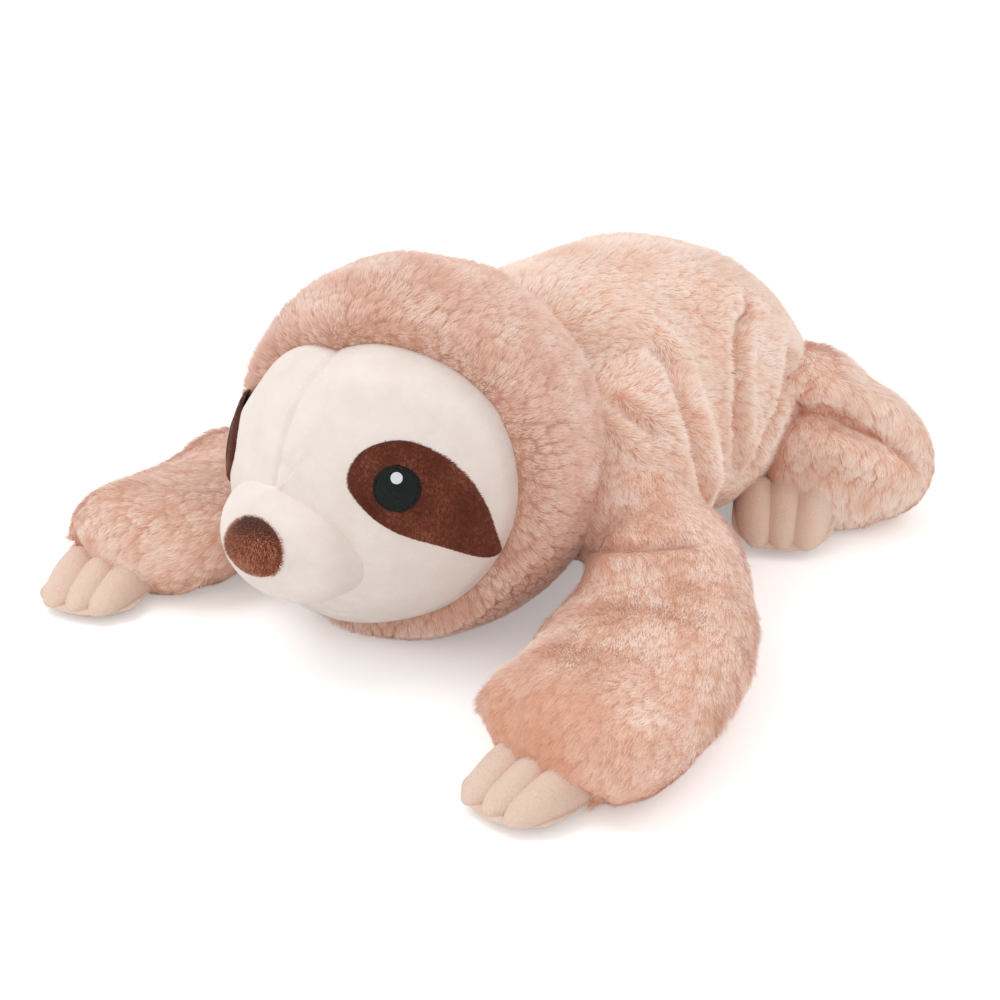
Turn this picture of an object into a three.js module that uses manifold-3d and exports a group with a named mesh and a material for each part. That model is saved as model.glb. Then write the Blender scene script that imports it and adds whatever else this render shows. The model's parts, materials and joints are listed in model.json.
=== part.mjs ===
// A plush sloth lying on its belly, in millimetres. It faces -Y, +Z is up and its left side is +X.
// Every soft part is a sewn skin, open along its seams, over its own stuffing.
import * as THREE from "three";
import { mergeVertices } from "three/addons/utils/BufferGeometryUtils.js";
import Module from "manifold-3d";

const wasm = await Module();
wasm.setup();

// Cloth thicknesses and clearances
const skinWall = 4;
const panelWall = 3;
const patchWall = 1.2;
const seamGap = 0.3;
const stuffingGap = 0.6;
const socketGap = 0.5;
const sweepGap = 1;
const headSweepGap = 2;
const floorCut = 0.5;

// Head: an oval that turns on a neck ball behind its middle
const headWidth = 208;
const headHeight = 222;
const headDepth = 200;
const neckBack = 62;
const neckHeight = 98;
const neckRadius = 58;
const headTurn = -5;
const headTurnLimit = 15;

// Face: two cream panels inside the seam of the hood
const pileDepth = 5;
const faceBulge = 8;
const faceSeamDepth = 84;
const faceSeamHalfHeight = 97;
const faceSeamForward = 3;
const faceSeamRise = 2;

// Muzzle and nose
const muzzleWidth = 104;
const muzzleHeight = 72;
const muzzleReach = 28;
const muzzleDrop = 26;
const muzzleCapShare = 0.7;
const noseWidth = 42;
const noseHeight = 37;
const noseDepth = 27;
const noseStandOff = 9;
const noseLift = 3;

// Eyes and their patches, placed round the face by angles in degrees
const eyeAcross = 45;
const eyeAbove = 11;
const eyeRadius = 13.7;
const eyeWall = 0.9;
const glintRadius = 3.4;
const glintRise = 6.5;
const glintWall = 0.6;
const patchReach = 56;
const patchDrop = 46;
const patchOutlineShares = [
  [-0.49, 0.06],
  [-0.33, 0.37],
  [0.03, 0.57],
  [0.39, 0.43],
  [0.67, 0.14],
  [0.86, -0.24],
  [0.96, -0.65],
  [1, -0.96],
  [0.9, -1.01],
  [0.39, -0.76],
  [-0.03, -0.57],
  [-0.31, -0.32],
];

// Body: an oval tube from the neck to the rump
const bodyLength = 287;
const bodyWidth = 188;
const bodyHeight = 190;
const bodyBehindHead = 52;
const bodyWidthShares = [0.84, 0.97, 1, 0.9, 0.74];
const bodyHeightShares = [0.94, 1.01, 0.97, 0.81, 0.6];
const bodyCapShares = [0.22, 0.34];

// Arms: a narrow root at the shoulder that swells into a wide paw
const shoulderBack = 76;
const shoulderHeight = 76;
const shoulderStandOff = 6;
const armRootRadius = 32;
const armBallRadius = 43;
const pawWidth = 104;
const pawHeight = 62;
const pawCapShare = 0.6;
const armWidthShares = [0, 0.18, 0.92, 1, 0.94];
const armHeightShares = [0, 0.2, 1, 1, 1];
const armDropShares = [0.25, 0.75];
const leftArm = {
  side: 1,
  elbowOut: 70,
  elbowForward: 46,
  wristOut: 94,
  wristForward: 128,
  tipOut: 94,
  tipForward: 196,
  clawAngle: 0,
  inward: 4,
  outward: 40,
};
const rightArm = {
  side: -1,
  elbowOut: 52,
  elbowForward: 50,
  wristOut: 46,
  wristForward: 132,
  tipOut: 54,
  tipForward: 214,
  clawAngle: 28,
  inward: 0,
  outward: 45,
};

// Hind legs: a thigh out of the rump and a foot that lies forward along the belly
const hipBeforeRump = 58;
const hipHeight = 68;
const hipInset = 14;
const legBallRadius = 42;
const thighWidth = 84;
const thighLength = 84;
const thighHeight = 92;
const thighPlaceShare = 0.6;
const kneeOut = 44;
const kneeBack = 20;
const footWidth = 74;
const footHeight = 76;
const footOut = 24;
const footForward = 56;
const legClawAngle = -50;
const legOutward = 35;
const legInward = 0;

// Claws: three stuffed lobes on each paw, a top piece sewn to a sole
const clawCount = 3;
const clawLength = 40;
const clawWidth = 25;
const clawHeight = 24;
const clawPitch = 20;
const clawTuck = 18;
const clawFan = 6;
const armClawLift = 2;
const legClawLift = 16;

// Facets of the outer forms, and the share of them that linings and stuffing have. Counts of
// sides are multiples of four, so that a form's lowest line is cut flat.
const formSides = 16;
const formRings = 5;
const capRings = 3;
const bodySides = 24;
const headSides = 24;
const ballSides = 28;
const ballRings = 6;
const clawSides = 8;
const clawRings = 1;
const outlinePoints = 20;
const liningShare = 0.5;

const up = new THREE.Vector3(0, 0, 1);
const degrees = THREE.MathUtils.degToRad;
const vector = (x, y, z) => new THREE.Vector3(x, y, z);
const resting = (height) => height / 2 - floorCut;

// A solid from the positions and faces of a closed three.js geometry
function solidOf(geometry) {
  for (const name of Object.keys(geometry.attributes)) {
    if (name !== "position") geometry.deleteAttribute(name);
  }
  const merged = mergeVertices(geometry);
  const vertProperties = new Float32Array(merged.attributes.position.array);
  const triVerts = new Uint32Array(merged.index.array);
  return new wasm.Manifold(new wasm.Mesh({ numProp: 3, vertProperties, triVerts }));
}

function geometryOf(solid) {
  const mesh = solid.getMesh();
  const geometry = new THREE.BufferGeometry();
  geometry.setAttribute("position", new THREE.BufferAttribute(mesh.vertProperties, mesh.numProp));
  geometry.setIndex(new THREE.BufferAttribute(mesh.triVerts, 1));
  geometry.computeVertexNormals();
  return geometry;
}

function joined(solids) {
  return solids.reduce((whole, solid) => whole.add(solid));
}

// A solid turned by an angle in degrees about the upright line through a point
function turned(solid, pivot, angle) {
  const matrix = new THREE.Matrix4().makeTranslation(pivot.x, pivot.y, pivot.z);
  matrix.multiply(new THREE.Matrix4().makeRotationAxis(up, degrees(angle)));
  matrix.multiply(new THREE.Matrix4().makeTranslation(-pivot.x, -pivot.y, -pivot.z));
  return solid.transform(matrix.elements);
}

// Fewer facets where a form is a lining or stuffing, and always an even number
function facets(count, grow) {
  return grow < 0 ? 2 * Math.round((count * liningShare) / 2) : count;
}

function oval(centre, halfSizes, sides, rings = sides / 2) {
  const geometry = new THREE.SphereGeometry(1, sides, rings);
  geometry.rotateX(Math.PI / 2);
  geometry.scale(halfSizes.x, halfSizes.y, halfSizes.z);
  geometry.translate(centre.x, centre.y, centre.z);
  return solidOf(geometry);
}

// A ball that turns in its socket, so it has many facets round its upright axis
function ball(centre, radius, grow) {
  const size = radius + grow;
  return oval(centre, vector(size, size, size), facets(ballSides, grow), ballRings);
}

// The distances of the rings of an oval form from its start, and how far each is drawn in
function ringPlaces(length, [firstCap, lastCap], rings, roundRings) {
  const places = [];
  for (let i = 1; i <= roundRings; i++) {
    const angle = (i / roundRings) * (Math.PI / 2);
    places.push({ at: firstCap * (1 - Math.cos(angle)), round: Math.sin(angle) });
  }
  for (let i = 1; i < rings; i++) {
    places.push({ at: firstCap + ((length - firstCap - lastCap) * i) / rings, round: 1 });
  }
  for (let i = roundRings; i >= 1; i--) {
    const angle = (i / roundRings) * (Math.PI / 2);
    places.push({ at: length - lastCap * (1 - Math.cos(angle)), round: Math.sin(angle) });
  }
  return places;
}

// A closed form of oval rings along a smooth line. Its half sizes are spread evenly along the
// line, and each end closes in a round cap. Growing it moves the whole surface outwards.
function ovalForm({ line, halfWidths, halfHeights, caps, ...counts }, grow) {
  const sides = facets(counts.sides, grow);
  const rings = facets(counts.rings, grow);
  const curve = new THREE.CatmullRomCurve3(line, false, "centripetal");
  const length = curve.getLength();
  const sizes = new THREE.CatmullRomCurve3(halfWidths.map((w, i) => vector(w, halfHeights[i], 0)));
  const places = ringPlaces(length, caps, rings, facets(capRings, grow));
  const points = [];
  for (const { at, round } of places) {
    const share = at / length;
    const along = curve.getTangentAt(share);
    const across = vector().crossVectors(along, up).normalize();
    const above = vector().crossVectors(across, along).normalize();
    const size = sizes.getPoint(share);
    const centre = curve.getPointAt(share).addScaledVector(along, grow * (2 * share - 1));
    for (let k = 0; k < sides; k++) {
      const angle = (k / sides) * 2 * Math.PI;
      const point = centre.clone();
      point.addScaledVector(across, Math.cos(angle) * (size.x * round + grow));
      point.addScaledVector(above, Math.sin(angle) * (size.y * round + grow));
      points.push(point);
    }
  }
  const faces = [];
  for (let ring = 0; ring + 1 < places.length; ring++) {
    for (let k = 0; k < sides; k++) {
      const a = ring * sides + k;
      const b = ring * sides + ((k + 1) % sides);
      faces.push(a, b + sides, b, a, a + sides, b + sides);
    }
  }
  const start = points.length;
  const lastRing = start - sides;
  points.push(curve.getPointAt(0).addScaledVector(curve.getTangentAt(0), -grow));
  points.push(curve.getPointAt(1).addScaledVector(curve.getTangentAt(1), grow));
  for (let k = 0; k < sides; k++) {
    const next = (k + 1) % sides;
    faces.push(start, k, next, start + 1, lastRing + next, lastRing + k);
  }
  const geometry = new THREE.BufferGeometry().setFromPoints(points);
  geometry.setIndex(faces);
  return solidOf(geometry);
}

// Everything below the surface that the toy lies on
const floorSpan = 4 * (bodyLength + headDepth);
const belowFloor = solidOf(
  new THREE.BoxGeometry(floorSpan, floorSpan, headHeight).translate(0, 0, -headHeight / 2),
);

// Head forms, straight on the neck
const headCentre = vector(0, 0, resting(headHeight));
const neckPivot = vector(0, neckBack, neckHeight);

function headOval(grow) {
  const halfSizes = vector(headWidth / 2, headDepth / 2, headHeight / 2);
  return oval(headCentre, halfSizes.addScalar(grow), facets(headSides, grow));
}

function neckBall(grow) {
  return ball(neckPivot, neckRadius, grow);
}

// The space that the turning head needs
function turningHead() {
  const turns = [-headTurnLimit, 0, headTurnLimit];
  return joined(turns.map((angle) => turned(headOval(headSweepGap), neckPivot, angle)));
}

// The face lies a pile's depth inside the hood and bulges forward of it
function faceForm(grow) {
  const halfSizes = vector(headWidth / 2, headDepth / 2 + faceBulge, headHeight / 2);
  return oval(headCentre, halfSizes.addScalar(grow - pileDepth), facets(headSides, grow));
}

// A drum lying across the head, whose rim on the face form is the seam round the face
function faceRegion(grow) {
  const drum = new THREE.CylinderGeometry(1, 1, 1, headSides);
  drum.rotateZ(Math.PI / 2);
  drum.scale(2 * headWidth, faceSeamDepth + grow, faceSeamHalfHeight + grow);
  drum.translate(0, -faceSeamForward - faceSeamDepth, headCentre.z + faceSeamRise);
  return solidOf(drum);
}

const muzzleCentre = vector(0, -headDepth / 2 - faceBulge + pileDepth, headCentre.z - muzzleDrop);

function muzzleForm(grow) {
  const back = muzzleCentre.clone().setY(muzzleCentre.y + muzzleReach);
  const front = muzzleCentre.clone().setY(muzzleCentre.y - muzzleReach);
  return ovalForm(
    {
      line: [back, front],
      halfWidths: [muzzleWidth / 2, muzzleWidth / 2, noseWidth / 2 + panelWall],
      halfHeights: [muzzleHeight / 2, muzzleHeight / 2, noseHeight / 2 + panelWall],
      caps: [panelWall, muzzleReach * muzzleCapShare],
      rings: formRings,
      sides: formSides,
    },
    grow,
  );
}

function noseForm() {
  const front = muzzleCentre.y - muzzleReach - noseStandOff;
  const centre = vector(0, front + noseDepth / 2, muzzleCentre.z + noseLift);
  const halfSizes = vector(noseWidth / 2, noseDepth / 2, noseHeight / 2);
  return oval(centre, halfSizes, formSides);
}

// A prism through the face along the line that an eye looks along
function eyePrism(side, outline) {
  const [across, above] = [degrees(eyeAcross), degrees(eyeAbove)];
  const right = vector(side * Math.cos(across), Math.sin(across), 0);
  const out = vector(
    side * Math.sin(across) * Math.cos(above),
    -Math.cos(across) * Math.cos(above),
    Math.sin(above),
  );
  const rise = vector().crossVectors(out, right).multiplyScalar(side);
  const shape = new THREE.Shape(outline);
  const prism = new THREE.ExtrudeGeometry(shape, { depth: headDepth, bevelEnabled: false });
  const frame = new THREE.Matrix4().makeBasis(right, rise, out).setPosition(headCentre);
  return solidOf(prism).transform(frame.elements);
}

function patchOutline() {
  const corners = patchOutlineShares.map(([along, rise]) =>
    vector(along * patchReach, rise * patchDrop, 0),
  );
  const curve = new THREE.CatmullRomCurve3(corners, true, "centripetal");
  return curve.getPoints(outlinePoints).slice(0, -1).map((p) => new THREE.Vector2(p.x, p.y));
}

function discOutline(radius, rise) {
  const points = [];
  for (let i = 0; i < outlinePoints; i++) {
    const angle = (i / outlinePoints) * 2 * Math.PI;
    points.push(new THREE.Vector2(radius * Math.cos(angle), rise + radius * Math.sin(angle)));
  }
  return points;
}

// A layer of cloth that lies over the face between two heights
function faceLayer(bottom, wall, prism) {
  return faceForm(bottom + wall).subtract(faceForm(bottom)).intersect(prism);
}

// Body form
const bodyStart = bodyBehindHead;
const rumpEnd = bodyStart + bodyLength;

function bodyForm(grow) {
  const last = bodyHeightShares.length - 1;
  return ovalForm(
    {
      line: bodyHeightShares.map((share, i) =>
        vector(0, bodyStart + (bodyLength * i) / last, resting(bodyHeight * share)),
      ),
      halfWidths: bodyWidthShares.map((share) => (share * bodyWidth) / 2),
      halfHeights: bodyHeightShares.map((share) => (share * bodyHeight) / 2),
      caps: bodyCapShares.map((share) => share * bodyLength),
      rings: formRings,
      sides: bodySides,
    },
    grow,
  );
}

// Arm forms, from the pivot in the shoulder
function shoulder(arm) {
  return vector(arm.side * (bodyWidth / 2 + shoulderStandOff), shoulderBack, shoulderHeight);
}

function armLine(arm) {
  const pivot = shoulder(arm);
  const place = (out, forward, height) =>
    vector(pivot.x + arm.side * out, pivot.y - forward, height);
  const drop = shoulderHeight - resting(pawHeight);
  const [upperArmShare, elbowShare] = armDropShares;
  return [
    place(0, 0, shoulderHeight),
    place(arm.elbowOut / 2, arm.elbowForward / 4, shoulderHeight - drop * upperArmShare),
    place(arm.elbowOut, arm.elbowForward, shoulderHeight - drop * elbowShare),
    place(arm.wristOut, arm.wristForward, resting(pawHeight)),
    place(arm.tipOut, arm.tipForward, resting(pawHeight)),
  ];
}

function armTube(arm, grow) {
  const swell = (root, full, shares) => shares.map((share) => root + (full / 2 - root) * share);
  return ovalForm(
    {
      line: armLine(arm),
      halfWidths: swell(armRootRadius, pawWidth, armWidthShares),
      halfHeights: swell(armRootRadius, pawHeight, armHeightShares),
      caps: [armRootRadius, pawHeight * pawCapShare],
      rings: formRings,
      sides: formSides,
    },
    grow,
  );
}

// Leg forms, from the pivot in the hip
function hip(side) {
  return vector(side * (bodyWidth / 2 - hipInset), rumpEnd - hipBeforeRump, hipHeight);
}

function knee(side) {
  const pivot = hip(side);
  return vector(pivot.x + side * kneeOut, pivot.y + kneeBack, resting(footHeight));
}

function toe(side) {
  const pivot = hip(side);
  return vector(pivot.x + side * footOut, pivot.y - footForward, resting(footHeight));
}

function legTube(side, grow) {
  const bend = knee(side);
  const behind = bend.clone().setY(bend.y + footWidth / 2);
  const middle = hip(side).lerp(bend, thighPlaceShare).setZ(resting(thighHeight));
  const halfSizes = vector(thighWidth / 2, thighLength / 2, thighHeight / 2).addScalar(grow);
  const thigh = oval(middle, halfSizes, facets(formSides, grow));
  const foot = ovalForm(
    {
      line: [behind, behind.clone().lerp(toe(side), 0.5), toe(side)],
      halfWidths: [footWidth / 2, footWidth / 2, footWidth / 2],
      halfHeights: [footHeight / 2, footHeight / 2, footHeight / 2],
      caps: [footWidth / 2, footWidth / 2],
      rings: formRings,
      sides: formSides,
    },
    grow,
  );
  return thigh.add(foot);
}

// Claw forms: stuffed lobes side by side, pointing along +Y with the edge seam on the XY plane
function clawLobes() {
  const lobes = [];
  for (let i = 0; i < clawCount; i++) {
    const place = i - (clawCount - 1) / 2;
    const fan = degrees(place * clawFan);
    const root = vector(place * clawPitch, 0, 0);
    const tip = vector(Math.sin(fan), Math.cos(fan), 0).multiplyScalar(clawLength).add(root);
    lobes.push(
      ovalForm(
        {
          line: [root, root.clone().lerp(tip, 0.5), tip],
          halfWidths: [clawWidth / 2, clawWidth / 2, clawWidth / 2],
          halfHeights: [clawHeight / 2, clawHeight / 2, clawHeight / 2],
          caps: [clawWidth / 2, clawWidth / 2],
          rings: clawRings,
          sides: clawSides,
        },
        0,
      ),
    );
  }
  return joined(lobes);
}

// Half of the space above or below the edge seam
function seamHalf(sign) {
  const box = new THREE.BoxGeometry(2 * pawWidth, 4 * clawLength, clawHeight);
  box.translate(0, 0, (sign * (clawHeight + seamGap)) / 2);
  return solidOf(box);
}

// The group that holds the whole toy
const sloth = new THREE.Group();
const lying = new THREE.Group();
sloth.add(lying);

function place(name, solid, colour) {
  const material = new THREE.MeshStandardMaterial({ color: colour, roughness: 1, metalness: 0 });
  const mesh = new THREE.Mesh(geometryOf(solid.subtract(belowFloor)), material);
  mesh.name = name;
  lying.add(mesh);
}

// The skin and the stuffing of a form, opened and cut alike where it meets its neighbours
function sewn(name, form, neighbours, opening, colour) {
  const skin = form(0).subtract(form(-skinWall)).subtract(neighbours).subtract(opening);
  place(name + "_skin", skin, colour);
  place(name + "_stuffing", form(-skinWall - stuffingGap).subtract(neighbours), stuffingColour);
}

// A limb is a tube cut by the body, joined to a ball in the body's socket
function limb({ name, pivot, side, tube, ballRadius, inward, outward, tip, clawAngle, clawLift }) {
  const form = (grow) => tube(grow).subtract(bodyForm(sweepGap)).add(ball(pivot, ballRadius, grow));
  const swings = [side * inward, 0, (-side * outward) / 2, -side * outward];
  const headSpace = joined(swings.map((swing) => turned(turningHead(), pivot, swing)));
  const root = pivot.clone().setX(pivot.x - side * ballRadius);
  sewn(name, form, headSpace, ball(root, ballRadius / 2, 0), furColour);

  const heading = vector().subVectors(tip.at, tip.from).setZ(0).normalize();
  const frame = new THREE.Matrix4().makeTranslation(tip.at.x, tip.at.y, 0);
  frame.multiply(
    new THREE.Matrix4().makeRotationZ(Math.atan2(-heading.x, heading.y) - side * degrees(clawAngle)),
  );
  frame.multiply(new THREE.Matrix4().makeTranslation(0, -clawTuck, resting(clawHeight) + clawLift));
  frame.multiply(new THREE.Matrix4().makeRotationX(-Math.asin(clawLift / clawLength)));
  const lobes = clawLobes();
  const paw = tube(seamGap);
  for (const [piece, sign] of [["claw_top", 1], ["claw_sole", -1]]) {
    const half = lobes.intersect(seamHalf(sign)).transform(frame.elements);
    place(piece + "_" + name, half.subtract(paw), clawColour);
  }
}

function head(name, solid, colour) {
  place(name, turned(solid, neckPivot, headTurn), colour);
}

const furColour = "#e2baa3";
const hoodColour = "#cba28f";
const creamColour = "#f7eee4";
const patchColour = "#6e3421";
const threadColour = "#1c2626";
const glintColour = "#ffffff";
const clawColour = "#ecd0bc";
const stuffingColour = "#ffffff";

// Body, opened at the neck and at the four limb sockets
const sockets = [neckBall(socketGap), turningHead()];
for (const arm of [leftArm, rightArm]) sockets.push(ball(shoulder(arm), armBallRadius, socketGap));
for (const side of [1, -1]) sockets.push(ball(hip(side), legBallRadius, socketGap));
sewn("body", bodyForm, joined(sockets), ball(neckPivot, neckRadius, 0), furColour);

// Head
const hoodForm = (grow) => headOval(grow).add(neckBall(grow));
const neckOpening = ball(neckPivot.clone().setY(neckPivot.y + neckRadius), neckRadius / 2, 0);
const hood = hoodForm(0).subtract(hoodForm(-skinWall));
head("head_hood", hood.subtract(faceRegion(seamGap)).subtract(neckOpening), hoodColour);
const insideHood = hoodForm(-skinWall - stuffingGap);
const insideFace = faceForm(-panelWall - stuffingGap);
const headStuffing = joined([
  insideHood.subtract(faceRegion(seamGap)),
  insideHood.intersect(insideFace),
  insideFace.intersect(faceRegion(0)),
  muzzleForm(-panelWall - stuffingGap),
]);
head("head_stuffing", headStuffing, stuffingColour);
const faceCloth = faceForm(0).subtract(faceForm(-panelWall)).intersect(faceRegion(0));
const facePanels = faceCloth.subtract(muzzleForm(seamGap));
for (const [name, side] of [["left", 1], ["right", -1]]) {
  const half = new THREE.BoxGeometry(headWidth, 2 * headDepth, 2 * headHeight);
  half.translate((side * (headWidth + seamGap)) / 2, 0, headCentre.z);
  head("face_panel_" + name, facePanels.intersect(solidOf(half)), creamColour);
}
const muzzle = muzzleForm(0).subtract(muzzleForm(-panelWall)).subtract(faceForm(-panelWall));
head("muzzle", muzzle, creamColour);
head("nose", noseForm().subtract(muzzleForm(seamGap)), patchColour);
for (const [name, side] of [["left", 1], ["right", -1]]) {
  const overPatch = 2 * seamGap + patchWall;
  const overEye = overPatch + eyeWall + seamGap;
  const patch = faceLayer(seamGap, patchWall, eyePrism(side, patchOutline()));
  head("eye_patch_" + name, patch.intersect(faceRegion(0)), patchColour);
  const disc = eyePrism(side, discOutline(eyeRadius, 0));
  head("eye_" + name, faceLayer(overPatch, eyeWall, disc), threadColour);
  const glint = eyePrism(side, discOutline(glintRadius, glintRise));
  head("eye_glint_" + name, faceLayer(overEye, glintWall, glint), glintColour);
}

for (const arm of [leftArm, rightArm]) {
  const line = armLine(arm);
  limb({
    name: arm.side > 0 ? "arm_left" : "arm_right",
    pivot: shoulder(arm),
    side: arm.side,
    tube: (grow) => armTube(arm, grow),
    ballRadius: armBallRadius,
    inward: arm.inward,
    outward: arm.outward,
    tip: { from: line[line.length - 2], at: line[line.length - 1] },
    clawAngle: arm.clawAngle,
    clawLift: armClawLift,
  });
}
for (const side of [1, -1]) {
  limb({
    name: side > 0 ? "leg_left" : "leg_right",
    pivot: hip(side),
    side,
    tube: (grow) => legTube(side, grow),
    ballRadius: legBallRadius,
    inward: legInward,
    outward: legOutward,
    tip: { from: knee(side), at: toe(side) },
    clawAngle: legClawAngle,
    clawLift: legClawLift,
  });
}

// The origin is on the floor under the middle of the toy
const box = new THREE.Box3().setFromObject(lying);
lying.position.set(-(box.min.x + box.max.x) / 2, -(box.min.y + box.max.y) / 2, -box.min.z);

export default sloth;
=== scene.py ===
"""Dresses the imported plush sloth: stuffed fur skins, a velour face, stitched eyes and suede claws.

Forms are written in millimetres in the toy's own frame, whose origin is on the floor under the
middle of the head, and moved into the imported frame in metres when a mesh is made.
"""
import json
import math
from collections import namedtuple

import bpy
import numpy as np
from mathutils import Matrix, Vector
from mathutils.bvhtree import BVHTree


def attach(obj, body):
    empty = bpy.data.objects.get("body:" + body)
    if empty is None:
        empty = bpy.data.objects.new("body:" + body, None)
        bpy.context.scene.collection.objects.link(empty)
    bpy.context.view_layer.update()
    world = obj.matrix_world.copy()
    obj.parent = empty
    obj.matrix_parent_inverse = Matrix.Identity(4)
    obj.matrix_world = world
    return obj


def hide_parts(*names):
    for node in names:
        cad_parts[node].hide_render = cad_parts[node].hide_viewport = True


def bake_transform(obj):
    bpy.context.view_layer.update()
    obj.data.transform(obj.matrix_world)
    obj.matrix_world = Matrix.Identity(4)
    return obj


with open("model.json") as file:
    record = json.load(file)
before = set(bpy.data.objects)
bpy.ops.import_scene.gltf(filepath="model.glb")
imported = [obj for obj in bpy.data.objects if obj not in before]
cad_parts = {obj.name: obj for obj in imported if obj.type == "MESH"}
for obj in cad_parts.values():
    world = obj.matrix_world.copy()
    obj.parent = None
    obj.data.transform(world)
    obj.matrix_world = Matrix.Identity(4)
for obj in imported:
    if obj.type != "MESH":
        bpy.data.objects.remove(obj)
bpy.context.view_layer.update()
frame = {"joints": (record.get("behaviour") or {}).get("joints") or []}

MM = 0.001
SIDES = {"left": 1, "right": -1}

# Head: an oval that turns on a neck ball behind its middle
NECK_PIVOT = (0, 62, 98)
HEAD_CENTRE = (0, 0, 110.5)
HEAD_HALF = (104, 100, 111)
HEAD_TURN = -5
PILE_DEPTH = 5
FACE_BULGE = 8

# Seam round the face: how far round the face each point is, in degrees from the toy's left
# over its forehead to its right and under its chin, and how far from the middle of the face
FACE_SEAM = [
    (-90, 56), (-64, 65), (-45, 73.3), (-31, 78.7), (-18, 83.5), (-8, 86.7), (7, 88.6),
    (16, 88.4), (30, 86.5), (39, 82.5), (50, 76.5), (62, 68.5), (75, 60.5), (83, 55.5), (93, 50.5),
    (102, 50), (110, 50), (120, 50.2), (135, 50.2), (150, 50), (165, 51), (180, 58.5), (198, 69),
    (225, 69.5), (244, 60), (270, 56),
]
FACE_UNDER = 6
# Creases of the face: how deep and how wide
SEAM_CREASE = (1.8, 2.4)
BROW_DENT = (2.6, 15)
BROW_HEIGHTS = (-10, 60)
# Edge of a face panel: how deep it lies and how far that reaches, at its sides and what is
# added over the eyes
PANEL_DEPTH = (2.5, 3)
PANEL_REACH = (7, 16)
PANEL_TUCK = 6
HOOD_GROW = 4
HOOD_BACK = 179.5
HOOD_CROWDING = 1.15
# Edge of the hood: how deep it rolls in and over how many rings, and how deep the hood dips
# beside it and over how many degrees
HOOD_ROLL = (14, 5)
HOOD_DIP = (3, 12)
# Where the head is stuffed fuller: the way from its middle, how far, and how wide in degrees
HEAD_SWELLS = {
    "cheek": ((-0.74, -0.66, -0.12), 8, 28),
    "chin": ((-0.3, -0.66, -0.69), 15, 34),
    "temple": ((0.8, 0.55, -0.1), 9, 46),
}
FACE_COLUMNS = 128
FACE_RINGS = 72
HOOD_RINGS = 80

# Muzzle and nose
MUZZLE_CENTRE = (0.5, -103, 80.5)
MUZZLE_HALF = (52, 36)
MUZZLE_REACH = 28
MUZZLE_FRONT = 29
MUZZLE_CAPS = (3, MUZZLE_FRONT * 1.35)
MUZZLE_WIDTH_SHARES = (1.02, 1, 0.9)
MUZZLE_HEIGHT_SHARES = (1, 1.02, 0.96)
NOSE_HALF = (21, 15, 16.5)
NOSE_CENTRE = (9.5, -125, 88)

# Eyes, placed round the face by angles in degrees
EYE_ACROSS = 45
EYE_ABOVE = {1: 11, -1: 1}
EYE_RADIUS = 13.7
GLINT_RADIUS = 3.4
GLINT_RISE = 6.5
PATCH_WALL = 1.5
EYE_WALL = 1.4
EYE_GROOVE = 0.45
GLINT_WALL = 0.7
PATCH_REACH = 56
PATCH_DROP = 46
PATCH_OUTLINE = [
    (-0.31, -0.32), (-0.03, -0.57), (0.39, -0.76), (0.9, -1.01), (1, -0.96), (0.96, -0.65),
    (0.86, -0.24), (0.67, 0.14), (0.39, 0.43), (0.02, 0.58), (-0.37, 0.41), (-0.5, 0.04),
]

# How deep the round forms start in the floor, which then flattens them
SUNK = 0.5

# Body
BODY_GROW = 2.5
BODY_START = 52
BODY_LENGTH = 287
BODY_HALF_WIDTH = 94
BODY_HALF_HEIGHT = 95
BODY_WIDTH_SHARES = (0.84, 0.97, 0.98, 0.83, 0.65)
BODY_HEIGHT_SHARES = (0.94, 1.01, 0.97, 0.78, 0.57)
BODY_CAPS = (63, 98)
SHOULDER_MASS = (72, 99, 92)
SHOULDER_MASS_HALF = (60, 53, 66)

# Arms; each one's painted_shade is how much its pile is darkened towards the claws, as painted shade
# at the paw's front
SHOULDER = (100, 76, 76)
SHOULDER_RADIUS = 43
ARM_ROOT_RADIUS = 32
PAW_HALF_WIDTH = 52
PAW_HALF_HEIGHT = 31
ARM_HEIGHT_SHARES = (0, 0.2, 1, 1, 1)
ARMS = {
    "left": {
        "elbow": (65, 48), "wrist": (94, 128), "tip": (94, 196), "claw_angle": 0,
        "widths": (0, 0.95, 1.55, 1.4, 1.3), "painted_shade": 0.85,
    },
    "right": {
        "elbow": (52, 50), "wrist": (46, 132), "tip": (54, 214), "claw_angle": 28,
        "widths": (0, 0.4, 1.2, 1.06, 0.94), "painted_shade": 0.1,
    },
}

# Legs
HIP = (80, 281, 68)
HIP_RADIUS = 42
KNEE = (124, 301, 37.5)
TOE = (104, 225, 37.5)
FOOT_HALF = (37, 38)
THIGH_CENTRE = (106.4, 293, 45.5)
THIGH_HALF = (42, 42, 46)
LEG_CLAW_ANGLE = -50
LEG_WAY = (0.6, 0, -0.8)
# How far on either side of its joint a limb's skin bends
LIMB_BLEND = 25

# Claws
CLAW_LENGTH = 43
CLAW_HALF_WIDTH = 12.5
CLAW_PITCH = 20
CLAW_TUCK = 18
CLAW_FAN = -5
CLAW_TOP_HEIGHTS = (18, 18, 13, 5)
CLAW_WIDTH_SHARES = (1.06, 1.1, 1, 0.62)
MITT_FRONT_SHARE = 0.86
MITT_ROUND = 20
MITT_EDGE = 1
CLAW_SEAM_HEIGHT = 7
CLAW_LIFT = {"arm": 2, "leg": 16}
CLAW_ROOT = 14
PAW_BLUNT = 26
PAW_BLUNT_SHARE = 0.4

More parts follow.
